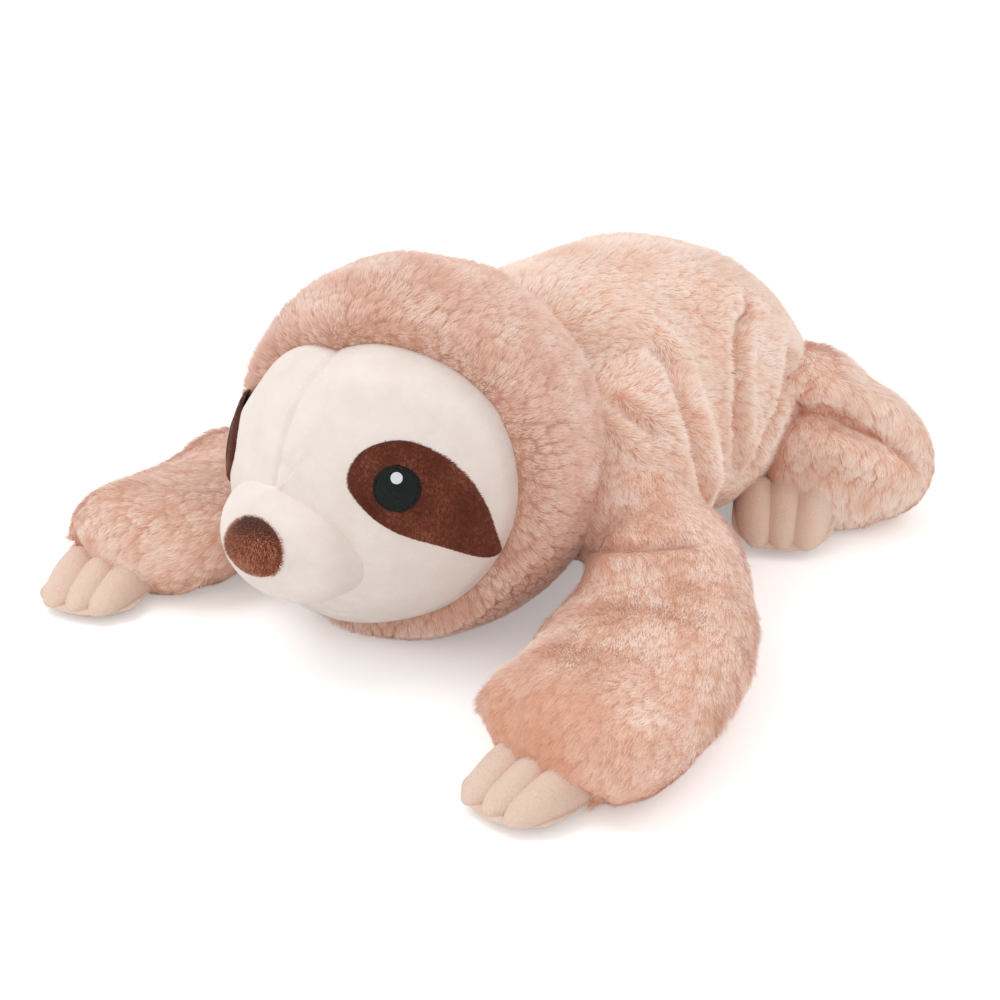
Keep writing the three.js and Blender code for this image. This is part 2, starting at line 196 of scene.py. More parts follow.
# Folds, as lines on the photograph in its pixels: how deep and how wide they are and how far
# the cloth beside them swells, in millimetres
BODY_FOLDS = [
    (
        [(744, 296), (747, 314), (737, 326), (733, 365), (733, 400), (734, 440), (730, 480)],
        11, 6.5, 3,
    ),
    ([(716, 445), (715, 475), (712, 500)], 4, 5, 1),
    ([(785, 345), (783, 372), (778, 396), (766, 428), (752, 456), (741, 478)], 8, 7, 3),
    ([(640, 335), (668, 372), (684, 410), (696, 455), (704, 500), (706, 520)], 11, 8, 4),
    ([(604, 398), (622, 412), (640, 427), (658, 440)], 7, 6, 2),
    ([(655, 300), (690, 318), (712, 350)], 2.5, 14, 0),
]
ARM_FOLDS = [
    ([(586, 551), (606, 548), (640, 547), (672, 545), (706, 538)], 8, 6, 0),
    ([(590, 564), (640, 561), (705, 553)], -5, 12, 0),
    ([(590, 538), (604, 522), (628, 502), (656, 492)], 3, 12, 1),
    ([(570, 640), (596, 642), (630, 643), (668, 642)], 2.5, 26, 0),
    ([(650, 590), (672, 606), (696, 622)], 3, 15, 0),
]
LEG_FOLDS = [
    (
        [(762, 424), (786, 414), (812, 410), (846, 420), (884, 438), (912, 452), (926, 470)],
        13, 10, 4,
    ),
    ([(786, 398), (822, 392), (868, 402), (906, 424)], -5, 16, 0),
    ([(770, 450), (810, 448), (860, 462), (890, 480)], -5, 18, 0),
    ([(768, 430), (782, 408), (798, 394), (822, 380)], 6, 8, 2),
    ([(784, 350), (792, 362), (800, 368)], 4, 7, 2),
]
FACE_FOLDS = [
    ([(276, 450), (283, 463), (292, 476)], 1.6, 8, 1),
    ([(306, 604), (316, 612), (332, 619)], 1.6, 3, 1),
    ([(318, 601), (330, 609), (346, 614)], 1.4, 3, 1),
    ([(334, 599), (346, 605), (358, 607)], 1.1, 3, 0.8),
]
FOLD_POINTS = 60
FOLD_FADE = (-0.06, 0.22)

# Stuffing of the skins, as cloth under pressure
VOXEL = 5
STUFFING_PRESSURE = 4
STUFFING_FRAMES = 20
HELD_HEIGHT = 5
LOOSENESS = 0.06
# The most that it may move a skin
MOST_PUFF = 5

# Camera of the photograph
CAMERA_AZIMUTH = 44
CAMERA_ELEVATION = 26
CAMERA_LENS = 85
CAMERA_SENSOR = 36
CAMERA_DISTANCE = 1.416
CAMERA_TARGET = (43, 23, 82.5)
PHOTO_SIZE = 1000

neck_joint = next(joint for joint in frame["joints"] if joint["name"] == "head_turn")
SHIFT = np.array(neck_joint["pos_m"]) - np.array(NECK_PIVOT) * MM


def to_frame(points):
    """Points in millimetres in the toy's own frame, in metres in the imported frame."""
    return np.asarray(points, float) * MM + SHIFT


def camera_axes():
    """The camera's directions to the right, up and back from what it sees."""
    azimuth, elevation = math.radians(CAMERA_AZIMUTH), math.radians(CAMERA_ELEVATION)
    back = np.array([
        math.sin(azimuth) * math.cos(elevation),
        -math.cos(azimuth) * math.cos(elevation),
        math.sin(elevation),
    ])
    right = np.array([math.cos(azimuth), math.sin(azimuth), 0])
    return right, np.cross(back, right), back


def new_object(name, data):
    made = bpy.data.objects.new(name, data)
    bpy.context.scene.collection.objects.link(made)
    return made


def make_camera():
    data = bpy.data.cameras.new("photo_camera")
    data.lens = CAMERA_LENS
    data.sensor_width = CAMERA_SENSOR
    camera = new_object("photo_camera", data)
    back = camera_axes()[2]
    camera.location = to_frame(CAMERA_TARGET) + back * CAMERA_DISTANCE
    camera.rotation_euler = Vector(back).to_track_quat("Z", "Y").to_euler()
    bpy.context.scene.camera = camera


make_camera()


def catmull_rom(points, places):
    """A smooth line through points, at places that count the points from 0."""
    p = np.asarray(points, float)
    p = np.vstack([2 * p[0] - p[1], p, 2 * p[-1] - p[-2]])
    segment = np.clip(np.floor(places).astype(int), 0, len(points) - 2)
    t = (places - segment)[:, None]
    a, b, c, d = (p[segment + i] for i in range(4))

    def step(start, end):
        return np.maximum(np.linalg.norm(end - start, axis=1, keepdims=True), 1e-4) ** 0.5

    before, here, after = step(a, b), step(b, c), step(c, d)
    leave = ((b - a) / before - (c - a) / (before + here) + (c - b) / here) * here
    arrive = ((c - b) / here - (d - b) / (here + after) + (d - c) / after) * here
    return (
        (2 * t**3 - 3 * t**2 + 1) * b
        + (t**3 - 2 * t**2 + t) * leave
        + (3 * t**2 - 2 * t**3) * c
        + (t**3 - t**2) * arrive
    )


def along_line(points, shares):
    """Places and directions on a smooth line at shares of its length, and the length."""
    fine = catmull_rom(points, np.linspace(0, len(points) - 1, 400))
    steps = np.linalg.norm(np.diff(fine, axis=0), axis=1)
    run = np.concatenate([[0], np.cumsum(steps)])
    length = run[-1]
    at, way = (
        np.stack([np.interp(np.asarray(shares) * length, run, values[:, i]) for i in range(3)], 1)
        for values in (fine, np.gradient(fine, axis=0))
    )
    return at, unit(way), length


def loft(line, half_widths, half_heights, caps, rings=48, sides=64, boxy=2.0):
    """A closed form of oval rings along a line, with round caps. Boxy above 2 squares the ovals."""
    cap_rings = rings // 4
    ends, _, length = along_line(line, [0, 1])
    turn = np.linspace(0, math.pi / 2, cap_rings + 1)[1:]
    first = caps[0] * (1 - np.cos(turn))
    last = (length - caps[1] * (1 - np.cos(turn)))[::-1]
    middle = np.linspace(caps[0], length - caps[1], rings - 2 * cap_rings + 2)[1:-1]
    at = np.concatenate([first, middle, last])
    drawn = np.concatenate([np.sin(turn), np.ones(len(middle)), np.sin(turn)[::-1]])
    centre, way, _ = along_line(line, at / length)
    sizes = catmull_rom(
        [(w, h, 0) for w, h in zip(half_widths, half_heights)],
        at / length * (len(half_widths) - 1),
    )
    across = unit(np.cross(way, (0, 0, 1)))
    above = np.cross(across, way)
    angle = round_angles(sides)
    cos, sin = np.cos(angle), np.sin(angle)
    wide = np.sign(cos) * np.abs(cos) ** (2 / boxy)
    high = np.sign(sin) * np.abs(sin) ** (2 / boxy)
    ring_points = (
        centre[:, None]
        + across[:, None] * (sizes[:, :1] * drawn[:, None] * wide)[:, :, None]
        + above[:, None] * (sizes[:, 1:2] * drawn[:, None] * high)[:, :, None]
    )
    points = np.vstack([ring_points.reshape(-1, 3), ends])
    return points, ring_faces(len(at), sides, len(points) - 2)


def ring_faces(rings, sides, poles):
    """Faces of a closed form of rings, whose two end points follow the rings' points."""
    faces = []
    for ring in range(rings - 1):
        for k in range(sides):
            a, b = ring * sides + k, ring * sides + (k + 1) % sides
            faces.append((a, a + sides, b + sides, b))
    last = (rings - 1) * sides
    for k in range(sides):
        follow = (k + 1) % sides
        faces.append((poles, k, follow))
        faces.append((poles + 1, last + follow, last + k))
    return faces


def oval(centre, half, rings=32, sides=64):
    """An oval ball with its poles along Y."""
    line = [(centre[0], centre[1] + half[1] * s, centre[2]) for s in (1, 0, -1)]
    return loft(line, [half[0]] * 3, [half[2]] * 3, (half[1], half[1]), rings, sides)


def round_angles(count):
    return np.arange(count) / count * 2 * math.pi


def turned(points, pivot, angle):
    """Points turned about the upright line through a pivot, by an angle in degrees."""
    cos, sin = math.cos(math.radians(angle)), math.sin(math.radians(angle))
    x, y, z = (np.asarray(points, float) - pivot).T
    return np.stack([x * cos - y * sin, x * sin + y * cos, z], 1) + pivot


def on_neck(points):
    return turned(points, NECK_PIVOT, HEAD_TURN)


def on_side(side, point):
    return side * point[0], point[1], point[2]


def new_piece(name, points, faces, node=None):
    """A smooth piece from points in millimetres in the toy's own frame, in place of a node."""
    mesh = bpy.data.meshes.new(name)
    mesh.from_pydata(to_frame(points).tolist(), [], [tuple(face) for face in faces])
    mesh.update()
    mesh.shade_smooth()
    piece = new_object(name, mesh)
    if node:
        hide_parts(node)
    return piece


def coordinates(mesh):
    points = np.empty(len(mesh.vertices) * 3)
    mesh.vertices.foreach_get("co", points)
    return (points.reshape(-1, 3) - SHIFT) / MM


def set_coordinates(mesh, points):
    mesh.vertices.foreach_set("co", to_frame(points).ravel())
    mesh.update()


def normals_of(mesh):
    normals = np.empty(len(mesh.vertices) * 3)
    mesh.vertex_normals.foreach_get("vector", normals)
    return normals.reshape(-1, 3)


def applied(piece):
    """Replaces a piece's mesh by what its modifiers make of it."""
    shown = bpy.context.evaluated_depsgraph_get()
    mesh = bpy.data.meshes.new_from_object(piece.evaluated_get(shown))
    piece.modifiers.clear()
    old, piece.data = piece.data, mesh
    bpy.data.meshes.remove(old)
    mesh.shade_smooth()


def joined(forms):
    points = np.vstack([form[0] for form in forms])
    faces, count = [], 0
    for form_points, form_faces in forms:
        faces += [tuple(i + count for i in face) for face in form_faces]
        count += len(form_points)
    return points, faces


def fused(name, forms, smoothing=6):
    """One skin over several closed forms, remeshed in even faces and smoothed where they meet."""
    piece = new_piece(name, *joined(forms))
    remesh = piece.modifiers.new("even", "REMESH")
    remesh.mode = "VOXEL"
    remesh.voxel_size = VOXEL * MM
    soft = piece.modifiers.new("soft", "SMOOTH")
    soft.factor = 0.5
    soft.iterations = smoothing
    applied(piece)
    return piece


def subdivided(piece):
    piece.modifiers.new("finer", "SUBSURF").levels = 1
    applied(piece)


def on_photo(tree, lines):
    """A smooth line drawn on the photograph, laid on what the camera sees of a skin there."""
    right, rise, back = camera_axes()
    eye = (to_frame(CAMERA_TARGET) + back * CAMERA_DISTANCE - SHIFT) / MM
    spots = catmull_rom([(*spot, 0) for spot in lines], np.linspace(0, len(lines) - 1, FOLD_POINTS))
    focal = CAMERA_LENS / CAMERA_SENSOR * PHOTO_SIZE
    found = []
    for x, y, _ in spots:
        way = right * (x - PHOTO_SIZE / 2) - rise * (y - PHOTO_SIZE / 2) - back * focal
        place = tree.ray_cast(Vector(eye), Vector(way).normalized())[0]
        if place:
            found.append(tuple(place))
    return np.array(found)


def fold_lines(skin, folds):
    """The folds of a skin in front, with their lines laid on it."""
    tree = skin_tree(skin)
    laid = [(on_photo(tree, spots), *sizes) for spots, *sizes in folds]
    return [fold for fold in laid if len(fold[0]) > 1]


def mirrored(skin, folds):
    """The same folds on the toy's other side, laid on a skin there."""
    tree = skin_tree(skin)
    return [
        (np.array([tuple(tree.find_nearest(Vector((-p[0], p[1], p[2])))[0]) for p in line]), *sizes)
        for line, *sizes in folds
    ]


def fold(skin, folds):
    """Presses folds into a skin and swells the cloth beside them."""
    points = coordinates(skin.data)
    move = np.zeros(len(points))
    for line, depth, width, swell in folds:
        away = np.full(len(points), np.inf)
        along = np.zeros(len(points))
        for i, place in enumerate(line):
            distance = np.linalg.norm(points - place, axis=1)
            closer = distance < away
            away[closer] = distance[closer]
            along[closer] = i / (len(line) - 1)
        ends = smooth_step(np.minimum(along, 1 - along), *FOLD_FADE)
        groove = np.exp(-((away / width) ** 2) * 2.5)
        beside = np.exp(-(((away - 1.7 * width) / (0.9 * width)) ** 2))
        move += ends * (swell * beside - depth * groove)
    set_coordinates(skin.data, points + normals_of(skin.data) * move[:, None])


def puffed(skin):
    """Stuffs a skin: cloth under pressure, a little too large for its form."""
    start = coordinates(skin.data)
    held = skin.vertex_groups.new(name="held")
    held.add(np.flatnonzero(start[:, 2] < HELD_HEIGHT).tolist(), 1, "REPLACE")
    cloth = skin.modifiers.new("stuffing", "CLOTH")
    settings = cloth.settings
    settings.vertex_group_mass = "held"
    settings.use_pressure = True
    settings.uniform_pressure_force = STUFFING_PRESSURE
    settings.shrink_min = -LOOSENESS
    settings.effector_weights.gravity = 0
    cloth.collision_settings.use_collision = False
    scene = bpy.context.scene
    for moment in range(1, STUFFING_FRAMES + 1):
        scene.frame_set(moment)
    shown = skin.evaluated_get(bpy.context.evaluated_depsgraph_get())
    move = coordinates(shown.data) - start
    skin.modifiers.clear()
    skin.vertex_groups.clear()
    scene.frame_set(1)
    far = np.linalg.norm(move, axis=1, keepdims=True)
    set_coordinates(skin.data, start + move * np.minimum(1, MOST_PUFF / np.maximum(far, 1e-6)))


def lie_on_floor(piece):
    points = coordinates(piece.data)
    points[:, 2] = np.maximum(points[:, 2], 0)
    set_coordinates(piece.data, points)


# Base skins
def body_form():
    shares = BODY_HEIGHT_SHARES
    last = len(shares) - 1
    return loft(
        [(0, BODY_START + BODY_LENGTH * i / last, BODY_HALF_HEIGHT * s - SUNK)
         for i, s in enumerate(shares)],
        [BODY_HALF_WIDTH * s + BODY_GROW for s in BODY_WIDTH_SHARES],
        [BODY_HALF_HEIGHT * s + BODY_GROW for s in shares],
        BODY_CAPS,
    )


def shoulder_form(side):
    return oval(on_side(side, SHOULDER_MASS), SHOULDER_MASS_HALF)


def arm_points(name):
    side, arm = SIDES[name], ARMS[name]
    x, y, z = on_side(side, SHOULDER)
    low = PAW_HALF_HEIGHT - SUNK
    elbow, wrist, tip = arm["elbow"], arm["wrist"], arm["tip"]
    return [
        (x, y, z),
        (x + side * elbow[0] / 2, y - elbow[1] / 4, z - (z - low) * 0.25),
        (x + side * elbow[0], y - elbow[1], z - (z - low) * 0.75),
        (x + side * wrist[0], y - wrist[1], low),
        (x + side * tip[0], y - tip[1], low),
    ]


def arm_forms(name):
    def swell(full, shares):
        return [ARM_ROOT_RADIUS + (full - ARM_ROOT_RADIUS) * share for share in shares]

    tube = loft(
        arm_points(name),
        swell(PAW_HALF_WIDTH, ARMS[name]["widths"]),
        swell(PAW_HALF_HEIGHT, ARM_HEIGHT_SHARES),
        (ARM_ROOT_RADIUS, PAW_HALF_HEIGHT * 1.2),
    )
    return [tube, oval(on_side(SIDES[name], SHOULDER), (SHOULDER_RADIUS,) * 3)]


def leg_forms(name):
    knee, toe, hip, thigh = (
        np.array(on_side(SIDES[name], point), float) for point in (KNEE, TOE, HIP, THIGH_CENTRE)
    )
    wide, high = FOOT_HALF
    behind = knee + (0, wide, 0)
    foot = loft([behind, (behind + toe) / 2, toe], [wide] * 3, [high] * 3, (wide, wide))
    return [oval(thigh, THIGH_HALF), foot, oval(hip, (HIP_RADIUS,) * 3)]


def make_body():
    skin = fused("body_plush", [body_form(), shoulder_form(1), shoulder_form(-1)], smoothing=36)
    puffed(skin)
    subdivided(skin)
    folds = fold_lines(skin, BODY_FOLDS)
    fold(skin, folds + mirrored(skin, folds))
    lie_on_floor(skin)
    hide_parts("body_skin", "body_stuffing")
    return skin


def make_limb(limb, side, forms, folds):
    """A limb's skin and its folds, which are drawn on the left and mirrored from there."""
    name = f"{limb}_{side}"
    skin = fused(name + "_plush", forms)
    tip, heading = claw_frame(limb, side)
    ahead = np.array([-math.sin(math.radians(heading)), math.cos(math.radians(heading)), 0])
    points = coordinates(skin.data)
    past = (points - tip) @ ahead + PAW_BLUNT
    points -= ahead * (np.maximum(past, 0) * (1 - PAW_BLUNT_SHARE))[:, None]
    set_coordinates(skin.data, points)
    puffed(skin)
    subdivided(skin)
    lines = fold_lines(skin, folds) if side == "left" else mirrored(skin, folds)
    fold(skin, lines)
    lie_on_floor(skin)
    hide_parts(name + "_skin", name + "_stuffing")
    return skin, lines


# Head pieces
def head_points(round_face, from_middle, grow):
    """Points on an oval of the head at angles in radians, grown by (x, y, z), facing forwards."""
    half = [h + g for h, g in zip(HEAD_HALF, grow)]
    wide, high = np.cos(round_face), np.sin(round_face)
    return np.stack([
        HEAD_CENTRE[0] + half[0] * np.sin(from_middle) * wide,
        HEAD_CENTRE[1] - half[1] * np.cos(from_middle),
        HEAD_CENTRE[2] + half[2] * np.sin(from_middle) * high,
    ], -1)


def face_grow(extra=0):
    return extra - PILE_DEPTH, extra - PILE_DEPTH + FACE_BULGE, extra - PILE_DEPTH


def plumped(points, swells):
    """Points of the head before it turns, moved out where it is stuffed fuller."""
    out = unit(np.asarray(points, float) - HEAD_CENTRE)
    grow = np.zeros(len(points))
    for swell in swells:
        way, most, spread = HEAD_SWELLS[swell]
        middle = np.array(way) / np.linalg.norm(way)
        near = np.degrees(np.arccos(np.clip(out @ middle, -1, 1)))
        grow += most * np.exp(-((near / spread) ** 2))
    return points + out * grow[:, None]


def seam_angles(round_face):
    """How far the face seam is from the middle of the face, all in radians."""
    at = (np.degrees(round_face) + 90) % 360 - 90
    angles = np.array(FACE_SEAM, float)
    places = np.interp(at, angles[:, 0], np.arange(len(angles)))
    return np.radians(catmull_rom([(0, a, 0) for a in angles[:, 1]], places)[:, 1])


def grid_faces(columns, rings, closed):
    """Quads of a grid whose points are stored ring by ring."""
    faces = []
    for ring in range(rings - 1):
        for k in range(columns if closed else columns - 1):
            a, b = ring * columns + k, ring * columns + (k + 1) % columns
            faces.append((a, b, b + columns, a + columns))
    return faces


def smooth_step(values, start, end):
    t = np.clip((values - start) / (end - start), 0, 1)
    return t * t * (3 - 2 * t)


def make_hood():
    columns = 2 * FACE_COLUMNS
    round_face = round_angles(columns)
    seam = seam_angles(round_face)
    rings = []
    for i in range(HOOD_RINGS):
        share = i / (HOOD_RINGS - 1)
        from_middle = seam + (math.radians(HOOD_BACK) - seam) * share**HOOD_CROWDING
        past = np.degrees(from_middle - seam)
        sunk = HOOD_ROLL[0] * max(0, 1 - i / HOOD_ROLL[1]) ** 2
        sunk = sunk + HOOD_DIP[0] * (1 - smooth_step(past, 0, HOOD_DIP[1]))
        surface = head_points(round_face, from_middle, (HOOD_GROW,) * 3)
        surface -= unit(surface - HEAD_CENTRE) * sunk[:, None]
        rings.append(plumped(surface, ("cheek", "chin", "temple")))
    faces = grid_faces(columns, HOOD_RINGS, True)
    back = (HOOD_RINGS - 1) * columns
    faces.append(tuple(back + k for k in range(columns)))
    faces = [face[::-1] for face in faces]
    skin = new_piece("hood_plush", on_neck(np.vstack(rings)), faces)
    lie_on_floor(skin)
    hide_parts("head_hood", "head_stuffing")
    return skin


def face_relief(points):
    """How far the face is drawn in by its seams, before the head turns."""
    x, z = points[:, 0], points[:, 2] - HEAD_CENTRE[2]
    crease = SEAM_CREASE[0] * np.exp(-((x / SEAM_CREASE[1]) ** 2))
    dent = BROW_DENT[0] * np.exp(-((x / BROW_DENT[1]) ** 2)) * smooth_step(z, *BROW_HEIGHTS)
    return crease + dent


def make_face_panel(name, lines):
    side = SIDES[name]
    half_turn = np.linspace(-math.pi / 2, math.pi / 2, FACE_COLUMNS)
    round_face = half_turn if side > 0 else math.pi - half_turn
    seam = seam_angles(round_face)
    rings = []
    for i in range(FACE_RINGS):
        share = i / (FACE_RINGS - 1)
        from_middle = math.radians(1) + (seam + math.radians(FACE_UNDER - 1)) * share
        short = np.degrees(seam - from_middle)
        rise = np.maximum(np.sin(round_face), 0)
        reach = PANEL_REACH[0] + PANEL_REACH[1] * rise
        edge = (PANEL_DEPTH[0] + PANEL_DEPTH[1] * rise) * (1 - smooth_step(short, -1, reach))
        edge += PANEL_TUCK * smooth_step(-short, 0, FACE_UNDER)
        surface = head_points(round_face, from_middle, face_grow())
        out = unit(surface - HEAD_CENTRE)
        surface -= out * (edge + face_relief(surface))[:, None]
        rings.append(plumped(surface, ("cheek", "chin")))
    faces = grid_faces(FACE_COLUMNS, FACE_RINGS, False)
    if side > 0:
        faces = [face[::-1] for face in faces]
    piece = new_piece("face_plush_" + name, on_neck(np.vstack(rings)), faces)
    lines = lines or fold_lines(piece, FACE_FOLDS)
    fold(piece, lines)
    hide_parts("face_panel_" + name)
    return piece, lines


def make_muzzle():
    x, y, z = MUZZLE_CENTRE
    points, faces = loft(
        [(x, y + MUZZLE_REACH, z), (x, y, z), (x, y - MUZZLE_FRONT, z)],
        [MUZZLE_HALF[0] * share for share in MUZZLE_WIDTH_SHARES],
        [MUZZLE_HALF[1] * share for share in MUZZLE_HEIGHT_SHARES],
        MUZZLE_CAPS,
        rings=64,
        sides=96,
    )
    return new_piece("muzzle_plush", on_neck(points), faces, "muzzle")


def make_nose():
    points, faces = oval(NOSE_CENTRE, NOSE_HALF, 32, 48)
    return new_piece("nose_plush", on_neck(points), faces, "nose")


def eye_axes(side):
    """The directions to the right, up and outwards of an eye, before the head turns."""
    across, above = math.radians(EYE_ACROSS), math.radians(EYE_ABOVE[side])
    right = np.array([side * math.cos(across), math.sin(across), 0])
    out = np.array([
        side * math.sin(across) * math.cos(above),
        -math.cos(across) * math.cos(above),
        math.sin(above),
    ])
    return right, np.cross(out, right) * side, out


def on_face(side, flat, height):
    """Flat points in an eye's plane, laid on the face at a height over it."""
    right, rise, out = eye_axes(side)
    half = np.array([h + g for h, g in zip(HEAD_HALF, face_grow(height))])
    start = (flat[:, :1] * right + flat[:, 1:2] * rise) / half
    way = out / half
    a = way @ way
    b = start @ way
    c = np.einsum("ij,ij->i", start, start) - 1
    reach = (-b + np.sqrt(b * b - a * c)) / a
    places = start * half + reach[:, None] * out + HEAD_CENTRE
    return plumped(places, ("cheek", "chin"))


def cloth_disc(name, node, side, outline, wall, base, groove=1.0):
    """A cloth shape laid on the face: rings from its middle out to its edge, and a rolled rim."""
    middle = outline.mean(axis=0)
    levels = [(i / 10, 1.0) for i in range(1, 9)]
    levels += [(0.86, 1.0), (0.885, groove), (0.91, 1.0), (0.97, 0.97), (1.0, 0.6), (1.006, 0.0)]
    points, faces = [on_face(side, middle[None], base + wall)], []
    count = len(outline)
    for share, rise in levels:
        points.append(on_face(side, middle + (outline - middle) * share, base + wall * rise))
    points = np.vstack(points)
    for k in range(count):
        follow = (k + 1) % count
        faces.append((0, 1 + k, 1 + follow))
        for ring in range(len(levels) - 1):
            a, b = 1 + ring * count + k, 1 + ring * count + follow
            faces.append((a, a + count, b + count, b))
    if side < 0:
        faces = [face[::-1] for face in faces]
    return new_piece(name, on_neck(points), faces, node)


def closed_curve(corners, count):
    """A smooth closed outline through corners."""
    wrapped = [(*c, 0) for c in corners]
    wrapped = wrapped[-2:] + wrapped + wrapped[:3]
    places = 2 + np.arange(count) / count * len(corners)
    return catmull_rom(wrapped, places)[:, :2]


def disc_outline(radius, rise, count=64):
    angle = round_angles(count)
    return np.stack([radius * np.cos(angle), rise + radius * np.sin(angle)], 1)


def make_eye(name):
    side = SIDES[name]
    corners = [(x * PATCH_REACH, y * PATCH_DROP) for x, y in PATCH_OUTLINE]
    glint = disc_outline(GLINT_RADIUS, GLINT_RISE)
    shapes = {
        ("patch_plush_", "eye_patch_"): (closed_curve(corners, 96), PATCH_WALL, 0),
        ("eye_thread_", "eye_"): (disc_outline(EYE_RADIUS, 0), EYE_WALL, PATCH_WALL, EYE_GROOVE),
        ("glint_thread_", "eye_glint_"): (glint, GLINT_WALL, PATCH_WALL + EYE_WALL),
    }
    return [
        cloth_disc(piece + name, node + name, side, *shape)
        for (piece, node), shape in shapes.items()
    ]


def claw_frame(limb, name):
    """The paw tip's place and the direction that its claws point in."""
    side = SIDES[name]
    if limb == "arm":
        line = arm_points(name)
        start, tip, angle = line[-2], line[-1], ARMS[name]["claw_angle"]
    else:
        start, tip, angle = on_side(side, KNEE), on_side(side, TOE), LEG_CLAW_ANGLE
    heading = math.degrees(math.atan2(-(tip[0] - start[0]), tip[1] - start[1]))
    return tip, heading - side * angle


def claw_lobes():
    """Three lobes side by side that taper forwards, from the paw towards +Y."""
    forms = []
    for i in (-1, 0, 1):
        fan = math.radians(i * CLAW_FAN)
        root = np.array([i * CLAW_PITCH, -CLAW_ROOT, 0.0])
        end = root + np.array([math.sin(fan), math.cos(fan), 0]) * (CLAW_LENGTH + CLAW_ROOT)
        points, faces = loft(
            [root, root * 0.6 + end * 0.4, root * 0.25 + end * 0.75, end],
            [CLAW_HALF_WIDTH * share for share in CLAW_WIDTH_SHARES], CLAW_TOP_HEIGHTS,
            (CLAW_HALF_WIDTH, CLAW_HALF_WIDTH),
            rings=36, sides=40,
        )
        points[:, 2] = np.where(points[:, 2] < 0, points[:, 2] * 0.1, points[:, 2])
        forms.append((points, faces))
    return forms


def claw_plate(above, below, narrow):
    """A flat form as broad as the three lobes, with a round front."""
    wide = CLAW_PITCH + CLAW_HALF_WIDTH - narrow
    end = CLAW_LENGTH - narrow
    points, faces = loft(
        [(0, -CLAW_ROOT, 0), (0, end / 2, 0), (0, end, 0)],
        [wide, wide, wide * MITT_FRONT_SHARE], (above,) * 3, (CLAW_HALF_WIDTH, MITT_ROUND),
        rings=48, sides=64, boxy=2.6,
    )
    points[:, 2] = np.where(points[:, 2] < 0, points[:, 2] * below / above, points[:, 2])
    return points, faces


def make_claws(limb, name):
    tip, heading = claw_frame(limb, name)
    lift = CLAW_LIFT[limb]
    tilt = -math.asin(lift / CLAW_LENGTH)
    parts = {
        "top": claw_lobes() + [claw_plate(MITT_EDGE, MITT_EDGE, -MITT_EDGE)],
        "sole": [claw_plate(MITT_EDGE / 2, CLAW_SEAM_HEIGHT, MITT_EDGE)],
    }
    pieces = []
    for part, forms in parts.items():
        points, faces = joined(forms)
        y = points[:, 1] * math.cos(tilt) - points[:, 2] * math.sin(tilt)
        z = points[:, 1] * math.sin(tilt) + points[:, 2] * math.cos(tilt)
        points = np.stack([points[:, 0], y - CLAW_TUCK, z + CLAW_SEAM_HEIGHT + lift], 1)
        points = turned(points, (0, 0, 0), heading) + (tip[0], tip[1], 0)
        points[:, 2] = np.maximum(points[:, 2], 0)
        end = f"{limb}_{name}"
        pieces.append(new_piece(f"claw_{part}_plush_{end}", points, faces, f"claw_{part}_{end}"))
    return pieces


# Fur: short blades of two faces, rooted in a skin and drawn together in clumps
def waves(points, size, seed, count=10):
    """Smooth noise from about -1 to 1, whose swells are about size across."""
    rng = np.random.default_rng(seed)
    total = np.zeros(len(points))
    for _ in range(count):
        way = rng.normal(size=3)
        way *= 2 * math.pi / (size * rng.uniform(1.2, 2.8) * np.linalg.norm(way))
        total += np.sin(points @ way + rng.uniform(0, 2 * math.pi))
    return total * math.sqrt(2 / count) / 1.5


def scattered(cells, seed):
    """Three numbers from 0 to 1 for each cell of a grid, and always the same ones."""
    mixed = (cells[:, 0] * 73856093) ^ (cells[:, 1] * 19349663) ^ (cells[:, 2] * 83492791)
    values = []
    for i in range(3):
        h = (mixed + (seed + i) * 2654435761) & 0xFFFFFFFF
        h = ((h ^ (h >> 15)) * 2246822519) & 0xFFFFFFFF
        h = ((h ^ (h >> 13)) * 3266489917) & 0xFFFFFFFF
        values.append(((h ^ (h >> 16)) & 0xFFFFFF) / 0x1000000)
    return np.stack(values, 1)


def clumps(points, size, seed):
    """The middle of the clump that each point belongs to, and a number from 0 to 1 for it."""
    cells = np.floor(points / size).astype(np.int64)
    nearest = np.full(len(points), np.inf)
    middle = np.zeros_like(points)
    number = np.zeros(len(points))
    for step in np.ndindex(3, 3, 3):
        cell = cells + np.array(step) - 1
        random = scattered(cell, seed)
        place = (cell + random) * size
        distance = np.einsum("ij,ij->i", points - place, points - place)
        closer = distance < nearest
        nearest[closer] = distance[closer]
        middle[closer] = place[closer]
        number[closer] = random[closer, 0]
    return middle, number


def across_surface(ways, out):
    return ways - out * np.einsum("ij,ij->i", ways, out)[:, None]


def unit(ways):
    return ways / np.maximum(np.linalg.norm(ways, axis=1, keepdims=True), 1e-9)


def roots_on(skin, density, seed):
    """Places spread over a skin and the directions out of it there."""
    mesh = skin.data
    mesh.calc_loop_triangles()
    corners = np.empty(len(mesh.loop_triangles) * 3, int)
    mesh.loop_triangles.foreach_get("vertices", corners)
    corners = corners.reshape(-1, 3)
    points, normals = coordinates(mesh), normals_of(mesh)
    a, b, c = points[corners[:, 0]], points[corners[:, 1]], points[corners[:, 2]]
    run = np.cumsum(np.linalg.norm(np.cross(b - a, c - a), axis=1) / 2)
    rng = np.random.default_rng(seed)
    count = int(run[-1] * density)
    spots = (np.arange(count) + rng.random(count)) / count * run[-1]
    chosen = corners[np.minimum(np.searchsorted(run, spots), len(run) - 1)]
    u, v = rng.random((2, count))
    over = u + v > 1
    u[over], v[over] = 1 - u[over], 1 - v[over]
    weights = np.stack([1 - u - v, u, v], 1)[:, :, None]
    return (points[chosen] * weights).sum(1), unit((normals[chosen] * weights).sum(1))


